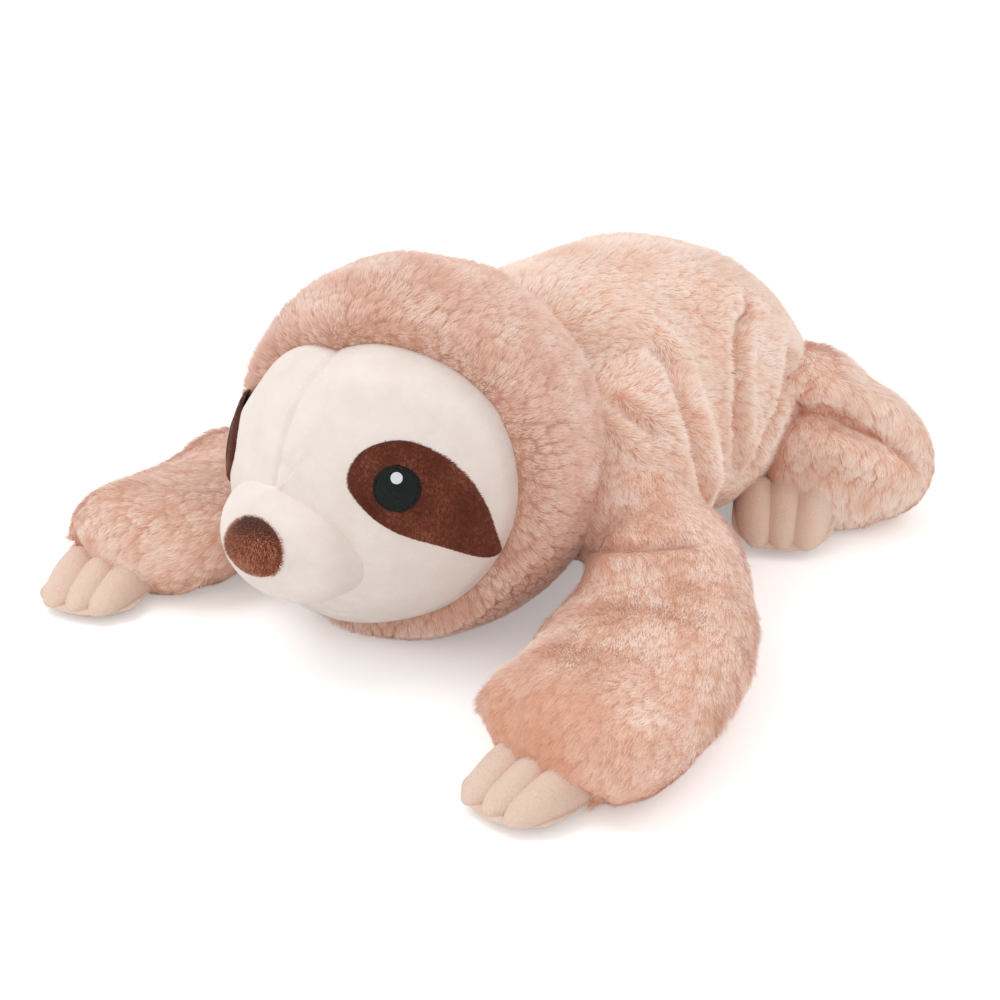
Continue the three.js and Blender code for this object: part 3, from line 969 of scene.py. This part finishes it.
def outside_of(points, tree):
    """Which points don't lie deep inside a closed skin."""
    kept = np.ones(len(points), bool)
    for i, point in enumerate(points):
        place, normal, _, distance = tree.find_nearest(Vector(point))
        if distance > DEEP and (Vector(point) - place).dot(normal) < 0:
            kept[i] = False
    return kept


def skin_tree(skin):
    points = coordinates(skin.data)
    return BVHTree.FromPolygons(
        [Vector(point) for point in points], [tuple(face.vertices) for face in skin.data.polygons]
    )


# How a pile stands: blades on a square millimetre, lengths in millimetres, the lean in degrees
# from upright, and how far a clump pulls its blades together
Pile = namedtuple("Pile", "density length lean width clump pull seed")
TONES = 64
FLOOR_GAP = 0.4
# How far inside another skin a blade's root is hidden
DEEP = 12
# How high over the floor a skin that faces down has a pile
RESTING_HEIGHT = 1.2
# Waves of the pile's way, length, lean and tone: how strong, and how far across
WAY_WAVES = (0.35, 45)
LENGTH_WAVES = (0.15, 30)
LEAN_WAVES = (0.2, 25)
TONE_WAVES = (0.2, 16)
LEAN_SPREAD = 8
STRAY = 0.2
UNDERSIDE_CUT = 0.65
ROOT_DEPTH = 0.6
# Blades: how much each half leans, how wide the bend is, and how far they turn out of line
HALF_LEANS = (0.94, 1.1)
BEND_WIDTH = 0.9
YAW = 0.35
# Clumps inside the clumps, and how far both pull at the bend of a blade
SMALL_CLUMP = 0.4
BEND_PULLS = (0.36, 0.1)
# Tone of a blade: by its clump, its small clump, its place in the clump and by itself; darker
# towards a clump's edge as painted shade between clumps
TONE_SPREADS = (0.26, 0.22, 0.16, 0.08)


def blades(roots, out, comb, pile):
    """The five points, the shading direction and the tone of each blade of a pile."""
    rng = np.random.default_rng(pile.seed)
    count = len(roots)
    swirl = np.stack([waves(roots, WAY_WAVES[1], pile.seed + i) for i in range(3)], 1)
    stray = rng.normal(size=(count, 3))
    way = unit(across_surface(comb + WAY_WAVES[0] * swirl + STRAY * stray, out))
    middle, number = clumps(roots, pile.clump, pile.seed)
    small, small_number = clumps(roots, pile.clump * SMALL_CLUMP, pile.seed + 7)
    to_middle = across_surface(middle - roots, out)
    to_small = across_surface(small - roots, out)
    pull = pile.pull * (BEND_PULLS[0] * to_middle + BEND_PULLS[1] * to_small)
    off = np.linalg.norm(to_middle, axis=1) / pile.clump
    length = pile.length * (1 + LENGTH_WAVES[0] * waves(roots, LENGTH_WAVES[1], pile.seed + 3))
    length *= (1.1 - 0.35 * np.minimum(off, 1)) * rng.uniform(0.8, 1.15, count)
    length *= 1 - UNDERSIDE_CUT * smooth_step(-out[:, 2], 0, 0.5)
    lean = pile.lean * (1 + LEAN_WAVES[0] * waves(roots, LEAN_WAVES[1], pile.seed + 5))
    lean = np.clip(np.radians(lean + rng.normal(0, LEAN_SPREAD, count)), 0.05, 1.45)

    def along(turn):
        return out * np.cos(turn)[:, None] + way * np.sin(turn)[:, None]

    half = length[:, None] / 2
    first = along(lean * HALF_LEANS[0]) * half
    second = along(np.minimum(lean * HALF_LEANS[1], 1.5)) * half
    bend = roots + first + pull
    tip = roots + first + second + 2 * pull
    bend[:, 2] = np.maximum(bend[:, 2], FLOOR_GAP)
    tip[:, 2] = np.maximum(tip[:, 2], FLOOR_GAP)
    side = unit(np.cross(tip - roots, out) + 1e-6)
    yaw = rng.uniform(-YAW, YAW, count)[:, None]
    side = unit(side * np.cos(yaw) + out * np.sin(yaw))
    wide = side * (pile.width * rng.uniform(0.7, 1.2, count) / 2)[:, None]
    base = roots - out * ROOT_DEPTH
    narrow = wide * BEND_WIDTH
    points = np.stack([base - wide, base + wide, bend + narrow, bend - narrow, tip], 1)
    shade = unit(out + 0.2 * unit(tip - roots) + 0.1 * rng.normal(size=(count, 3)))
    by_clump, by_small, edge_shade, by_itself = TONE_SPREADS
    tone = 0.5 + by_clump * (number - 0.5) + by_small * (small_number - 0.5)
    tone += by_itself * rng.normal(size=count)
    # Painted shade: blades towards a clump's edge are darker
    tone += TONE_WAVES[0] * waves(roots, TONE_WAVES[1], pile.seed + 9) - edge_shade * (off - 0.5)
    return points, shade, np.clip(tone, 0, 1)


def fur_mesh(name, points, shade, tone):
    """Blades of a quad and a tip, whose map has a column for each tone and runs up the blade."""
    count = len(points)
    flat = unit(np.cross(points[:, 1] - points[:, 0], points[:, 2] - points[:, 0]))
    flipped = np.einsum("ij,ij->i", flat, shade) < 0
    points[flipped] = points[flipped][:, [1, 0, 3, 2, 4]]
    flat[flipped] *= -1
    shade = unit(shade + 0.5 * flat)
    mesh = bpy.data.meshes.new(name)
    mesh.vertices.add(count * 5)
    mesh.vertices.foreach_set("co", to_frame(points.reshape(-1, 3)).ravel())
    start = (np.arange(count) * 5)[:, None]
    corners = (start + np.array([0, 1, 2, 3, 3, 2, 4])).ravel()
    mesh.loops.add(len(corners))
    mesh.loops.foreach_set("vertex_index", corners)
    mesh.polygons.add(count * 2)
    starts = ((np.arange(count) * 7)[:, None] + np.array([0, 4])).ravel()
    mesh.polygons.foreach_set("loop_start", starts)
    mesh.update(calc_edges=True)
    column = (np.clip((tone * TONES).astype(int), 0, TONES - 1)[:, None] + 0.5) / TONES
    narrow = 0.3 / TONES
    across = column + np.array([-1, 1, 1, -1, -1, 1, 0]) * narrow
    up = np.broadcast_to(np.array([0.01, 0.01, 0.5, 0.5, 0.5, 0.5, 0.99]), across.shape)
    layer = mesh.uv_layers.new(name="OFBake")
    layer.data.foreach_set("uv", np.stack([across, up], -1).ravel())
    mesh.shade_smooth()
    mesh.normals_split_custom_set_from_vertices(np.repeat(shade, 5, axis=0))
    return mesh


# Materials
def linear(red, green, blue):
    """A colour from its 0 to 255 display values."""
    def one(value):
        value /= 255
        return value / 12.92 if value <= 0.04045 else ((value + 0.055) / 1.055) ** 2.4
    return one(red), one(green), one(blue), 1


FUR_SHEEN = (1, 0.88, 0.83, 1)


class Look:
    """A material's nodes, added one by one round its shader."""

    def __init__(self, name, roughness, sheen, sheen_tint=(1, 1, 1, 1)):
        self.material = bpy.data.materials.new(name)
        self.material.use_nodes = True
        self.tree = self.material.node_tree
        self.shader = self.tree.nodes["Principled BSDF"]
        for socket, value in (
            ("Roughness", roughness), ("Specular IOR Level", 0.15), ("Sheen Weight", sheen),
            ("Sheen Roughness", 0.5), ("Sheen Tint", sheen_tint),
        ):
            self.shader.inputs[socket].default_value = value

    def feed(self, socket, value):
        if isinstance(value, bpy.types.NodeSocket):
            self.tree.links.new(value, socket)
        else:
            socket.default_value = value

    def node(self, kind, **inputs):
        made = self.tree.nodes.new(kind)
        for name, value in inputs.items():
            self.feed(made.inputs[name], value)
        return made

    def place(self):
        return self.node("ShaderNodeTexCoord").outputs["Object"]

    def noise(self, place, scale, detail=2, roughness=0.5):
        made = self.node(
            "ShaderNodeTexNoise", Vector=place, Scale=scale, Detail=detail, Roughness=roughness
        )
        return made.outputs["Fac"]

    def ramp(self, value, stops):
        """Colours over a value, written as 0 to 255 display values."""
        made = self.node("ShaderNodeValToRGB", Fac=value)
        elements = made.color_ramp.elements
        while len(elements) < len(stops):
            elements.new(0.5)
        for element, (at, colour) in zip(elements, stops):
            element.position = at
            element.color = linear(*colour)
        return made.outputs["Color"]

    def mixed(self, share, first, second):
        made = self.tree.nodes.new("ShaderNodeMix")
        made.data_type = "RGBA"
        for socket, value in ((0, share), (6, first), (7, second)):
            self.feed(made.inputs[socket], value)
        return made.outputs[2]

    def finish(self, colour, height=None, distance=0):
        self.feed(self.shader.inputs["Base Color"], colour)
        if height:
            bump = self.node("ShaderNodeBump", Height=height, Distance=distance)
            self.feed(self.shader.inputs["Normal"], bump.outputs["Normal"])
        return self.material


def blade_look(name, root, dark, light, tip, sheen=0.55):
    """Colours a pile: along each blade from root to tip, darker at the root as painted shade deep in
    the pile, and across the map's tone columns.
    """
    look = Look(name, 0.85, sheen, FUR_SHEEN)
    where = look.node("ShaderNodeUVMap")
    where.uv_map = "OFBake"
    parts = look.node("ShaderNodeSeparateXYZ", Vector=where.outputs["UV"])
    tone = look.ramp(parts.outputs["X"], [(0, dark), (0.5, light), (1, tip)])
    # Painted shade: each blade is darker towards its root
    depth = look.ramp(parts.outputs["Y"], [(0.05, (0, 0, 0)), (0.75, (255, 255, 255))])
    return look.finish(look.mixed(depth, linear(*root), tone))


def backing_look(name, dark, light):
    """The cloth under a long pile, showing only between its clumps, as dark as the pile's roots:
    painted shade there.
    """
    look = Look(name, 0.95, 0.1)
    place = look.place()
    colour = look.ramp(look.noise(place, 120, 4), [(0.3, dark), (0.7, light)])
    return look.finish(colour, look.noise(place, 900, 3), 0.001)


def velour_look(name, light, dark, scale=1.0, sheen=0.35):
    """Short velvety pile: fine grain, and soft mottles where it lies another way."""
    look = Look(name, 0.9, sheen)
    place = look.place()
    mottle = look.ramp(look.noise(place, 45 * scale, 3, 0.6), [(0.35, dark), (0.65, light)])
    return look.finish(mottle, look.noise(place, 900 * scale, 4, 0.75), 0.0006)


def suede_look(name, light, dark):
    look = Look(name, 0.95, 0.4)
    place = look.place()
    grain = look.noise(place, 750, 4, 0.75)
    mottle = look.noise(place, 90, 3, 0.6)
    colour = look.mixed(mottle, look.ramp(grain, [(0.36, dark), (0.62, light)]), linear(*light))
    return look.finish(colour, grain, 0.0009)


def thread_look(name, light, dark):
    """Satin stitches: fine threads that lie side by side."""
    look = Look(name, 0.55, 0.0)
    place = look.place()
    wave = look.node("ShaderNodeTexWave", Vector=place, Scale=620.0, Distortion=3.0, Detail=2.0)
    wave.bands_direction = "Z"
    colour = look.ramp(wave.outputs["Fac"], [(0.2, dark), (0.9, light)])
    return look.finish(colour, wave.outputs["Fac"], 0.0002)


# Each pile's colours: root, dark, light and tip; the darker root colours are painted shade deep in
# the pile
BODY_FUR = blade_look(
    "body_fur", (232, 176, 147), (241, 200, 177), (251, 228, 213), (255, 242, 235)
)
# The arms' pile: the body's pile with darker, more orange roots and tones, as painted shade on the
# arms
ARM_FUR_PAINTED_SHADE = blade_look(
    "arm_fur_painted_shade", (210, 138, 106), (224, 160, 130), (252, 222, 205), (255, 239, 230)
)
HOOD_FUR = blade_look(
    "hood_fur", (202, 143, 120), (218, 166, 144), (240, 201, 183), (247, 225, 213)
)
# Backings as dark as their piles' roots, painted shade between the clumps
BODY_BACKING = backing_look("body_backing", (218, 158, 130), (232, 182, 156))
HOOD_BACKING = backing_look("hood_backing", (190, 134, 110), (212, 162, 140))
BROWN_FUR = blade_look(
    "brown_pile", (63, 26, 16), (86, 39, 26), (123, 64, 47), (162, 96, 73), 0.1
)
NOSE_FUR = blade_look(
    "nose_pile", (96, 44, 27), (132, 70, 47), (196, 126, 95), (236, 176, 144), 0.12
)
CREAM = velour_look("cream_plush", (247, 236, 228), (242, 228, 219))
BROWN = velour_look("brown_backing", (102, 46, 30), (86, 38, 24), 2.0, 0.1)
THREAD = thread_look("dark_thread", (38, 49, 48), (9, 13, 14))
WHITE = thread_look("white_thread", (252, 252, 253), (234, 234, 240))
SUEDE = suede_look("claw_suede", (244, 216, 198), (226, 188, 164))


def finish_piece(piece, body, slot, look):
    """Gives a piece its material and lets it move with a body, or bakes its place into its mesh.
    """
    piece.data.materials.clear()
    piece.data.materials.append(look)
    if isinstance(body, tuple):
        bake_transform(piece)
    else:
        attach(piece, body)


def limb_blend(limb, name):
    """The body that a limb is and the stretch of skin that bends between it and the torso."""
    if limb == "arm":
        pivot, way = SHOULDER, (ARMS[name]["elbow"][0], -ARMS[name]["elbow"][1], 0)
    else:
        pivot, way = HIP, LEG_WAY
    reach = LIMB_BLEND * np.array(way) / np.linalg.norm(way)
    mirror = (SIDES[name], 1, 1)
    return f"{limb}_{name}", *(tuple(to_frame((r + pivot) * mirror)) for r in (-reach, reach))


# Ways that the piles are combed
def comb_body(points):
    return np.tile((0, 1, -0.8), (len(points), 1))


def comb_down(points):
    return np.tile((0.3, 0, -1), (len(points), 1))


def comb_hood(points):
    straight = turned(points, NECK_PIVOT, -HEAD_TURN)
    from_face = straight - (HEAD_CENTRE[0], HEAD_CENTRE[1] - HEAD_HALF[1], HEAD_CENTRE[2])
    return unit(from_face) + (0, 0.5, -0.35)


def comb_arm(name):
    line, way, _ = along_line(arm_points(name), np.linspace(0, 1, 24))

    def comb(points):
        away = np.linalg.norm(points[:, None] - line[None], axis=2)
        weight = np.exp(-((away - away.min(1, keepdims=True)) / 12))
        return unit(weight @ way) + (0, 0, -0.35)

    return comb


# Painted shade at a paw: how far from the paw's tip it is full, and where it has faded out, in
# millimetres
PAINTED_SHADE_REACH = (10, 115)


def paw_painted_shade(name):
    """Painted shade: darker tones towards the claws, where the paw's front lies in shade."""
    tip = np.array(arm_points(name)[-1])
    most = ARMS[name]["painted_shade"]

    def painted_shade(points):
        return most * (1 - smooth_step(np.linalg.norm(points - tip, axis=1), *PAINTED_SHADE_REACH))

    return painted_shade


def comb_leg(points):
    ways = np.tile((0.3, -0.3, -0.9), (len(points), 1))
    ways[:, 0] *= np.sign(points[:, 0])
    return ways


def grow(name, skin, pile, comb, body, slot, look, others=(), parts=1, keep=None, painted_shade=None):
    """Grows a pile on a skin, in as many pieces as its faces need. Painted shade, where given,
    lowers its tones.
    """
    roots, out = roots_on(skin, pile.density, pile.seed)
    chosen = (roots[:, 2] > RESTING_HEIGHT) | (out[:, 2] > -0.5)
    if keep:
        chosen &= keep(roots)
    roots, out = roots[chosen], out[chosen]
    for tree, points in others:
        low, high = points.min(0) + DEEP, points.max(0) - DEEP
        near = np.flatnonzero(((roots > low) & (roots < high)).all(1))
        left = np.ones(len(roots), bool)
        left[near] = outside_of(roots[near], tree)
        roots, out = roots[left], out[left]
    way = unit(across_surface(comb(roots), out))
    points, shade, tone = blades(roots, out, way, pile)
    if painted_shade:
        tone = tone * (1 - painted_shade(roots))
    order = np.argsort(roots[:, 1])
    for i, part in enumerate(np.array_split(order, parts)):
        full = f"{name}_{i + 1}" if parts > 1 else name
        piece = new_object(full, fur_mesh(full, points[part], shade[part], tone[part]))
        finish_piece(piece, body, slot, look)
        piece.visible_diffuse = False


# Dressing
skins = {"torso": make_body(), "head": make_hood()}
for limb, forms, folds in (("arm", arm_forms, ARM_FOLDS), ("leg", leg_forms, LEG_FOLDS)):
    for name in SIDES:
        skins[f"{limb}_{name}"], folds = make_limb(limb, name, forms(name), folds)
inside = {key: (skin_tree(skin), coordinates(skin.data)) for key, skin in skins.items()}


def all_but(key):
    return [value for other, value in inside.items() if other != key]


LONG = Pile(density=1.4, length=7, lean=66, width=0.34, clump=7, pull=0.45, seed=11)
HOOD_PILE = Pile(density=1.5, length=7, lean=65, width=0.34, clump=7, pull=0.5, seed=12)
PAW = Pile(density=1.5, length=8.5, lean=71, width=0.34, clump=8, pull=0.45, seed=13)

finish_piece(skins["torso"], "torso", "body_fur", BODY_BACKING)
grow(
    "body_fur", skins["torso"], LONG, comb_body, "torso", "body_fur", BODY_FUR,
    all_but("torso"), parts=3,
)
finish_piece(skins["head"], "head", "hood_fur", HOOD_BACKING)
grow(
    "hood_fur", skins["head"], HOOD_PILE, comb_hood, "head", "hood_fur", HOOD_FUR,
    all_but("head"), parts=2,
)
for name in SIDES:
    for limb, comb in (("arm", comb_arm(name)), ("leg", comb_leg)):
        key = f"{limb}_{name}"
        body = limb_blend(limb, name)
        finish_piece(skins[key], body, "body_fur", BODY_BACKING)
        # Arms take darker pile colours and are darkened towards the claws, both painted shade; legs
        # take the body's pile
        look, painted_shade = (ARM_FUR_PAINTED_SHADE, paw_painted_shade(name)) if limb == "arm" else (BODY_FUR, None)
        grow(
            key + "_fur", skins[key], PAW, comb, body, "body_fur", look,
            all_but(key), painted_shade=painted_shade,
        )
        for piece in make_claws(limb, name):
            finish_piece(piece, key, "claw_suede", SUEDE)
finish_piece(make_muzzle(), "head", "cream_plush", CREAM)
nose = make_nose()
finish_piece(nose, "head", "nose_plush", BROWN)
NOSE_PILE = Pile(density=3.5, length=2.6, lean=35, width=0.4, clump=2, pull=0.3, seed=21)
PATCH_PILE = Pile(density=4, length=2, lean=50, width=0.4, clump=3, pull=0.3, seed=22)
# How far behind the muzzle's front the nose's pile ends
NOSE_PILE_REACH = 10


def in_front(points):
    return points[:, 1] < on_neck([MUZZLE_CENTRE])[0, 1] - MUZZLE_FRONT + NOSE_PILE_REACH


grow("nose_pile", nose, NOSE_PILE, comb_down, "head", "nose_plush", NOSE_FUR, keep=in_front)
face_lines = None
for name in SIDES:
    panel, face_lines = make_face_panel(name, face_lines)
    finish_piece(panel, "head", "cream_plush", CREAM)
    patch, eye, glint = make_eye(name)
    finish_piece(patch, "head", "brown_plush", BROWN)
    grow("patch_pile_" + name, patch, PATCH_PILE, comb_down, "head", "brown_plush", BROWN_FUR)
    finish_piece(eye, "head", "dark_thread", THREAD)
    finish_piece(glint, "head", "white_thread", WHITE)


# Floor and light
FLOOR_REACH = 3
FLOOR_COLOUR = 0.93
FLOOR_GLOW = 0.3
WORLD_STRENGTH = 0.81
# Each lamp's place and size in metres, and its power in watts
LAMPS = {
    "key": ((-0.8, -0.6, 1.7), 1.2, 12),
    "fill": ((1.3, -1.1, 0.6), 1.4, 1.2),
    "back": ((0.9, 1.3, 1.4), 1.5, 7),
}


def seen_share(look, strength):
    """A strength for what the camera sees, also in a gloss or through glass, and 0 for light."""
    rays = look.node("ShaderNodeLightPath").outputs
    total = rays["Is Camera Ray"]
    for other in ("Is Glossy Ray", "Is Transmission Ray"):
        total = look.node("ShaderNodeMath", Value=total).outputs[0]
        look.feed(total.node.inputs[1], rays[other])
    scaled = look.node("ShaderNodeMath", Value=total)
    scaled.operation = "MULTIPLY"
    scaled.inputs[1].default_value = strength
    return scaled.outputs[0]


def make_floor():
    reach = FLOOR_REACH
    mesh = bpy.data.meshes.new("floor")
    corners = [(-reach, -reach, 0), (reach, -reach, 0), (reach, reach, 0), (-reach, reach, 0)]
    mesh.from_pydata(corners, [], [(0, 1, 2, 3)])
    floor = new_object("floor", mesh)
    look = Look("floor", 1, 0)
    look.feed(look.shader.inputs["Base Color"], (FLOOR_COLOUR,) * 3 + (1,))
    glow = look.node("ShaderNodeEmission", Strength=seen_share(look, FLOOR_GLOW))
    both = look.node("ShaderNodeAddShader")
    look.feed(both.inputs[0], look.shader.outputs["BSDF"])
    look.feed(both.inputs[1], glow.outputs["Emission"])
    look.feed(look.tree.nodes["Material Output"].inputs["Surface"], both.outputs["Shader"])
    mesh.materials.append(look.material)


def make_light():
    world = bpy.data.worlds.new("studio")
    bpy.context.scene.world = world
    world.use_nodes = True
    world.cycles.sampling_method = "NONE"
    background = world.node_tree.nodes["Background"]
    background.inputs["Color"].default_value = (1, 1, 1, 1)
    rays = world.node_tree.nodes.new("ShaderNodeLightPath")
    seen = world.node_tree.nodes.new("ShaderNodeMapRange")
    world.node_tree.links.new(rays.outputs["Is Camera Ray"], seen.inputs["Value"])
    seen.inputs["To Min"].default_value = WORLD_STRENGTH
    world.node_tree.links.new(seen.outputs["Result"], background.inputs["Strength"])
    for name, (place, size, power) in LAMPS.items():
        data = bpy.data.lights.new(name, "AREA")
        data.size, data.energy = size, power
        lamp = new_object(name, data)
        lamp.location = place
        lamp.rotation_euler = Vector(place).to_track_quat("Z", "Y").to_euler()


make_floor()
make_light()
bpy.context.scene.view_settings.view_transform = "Standard"
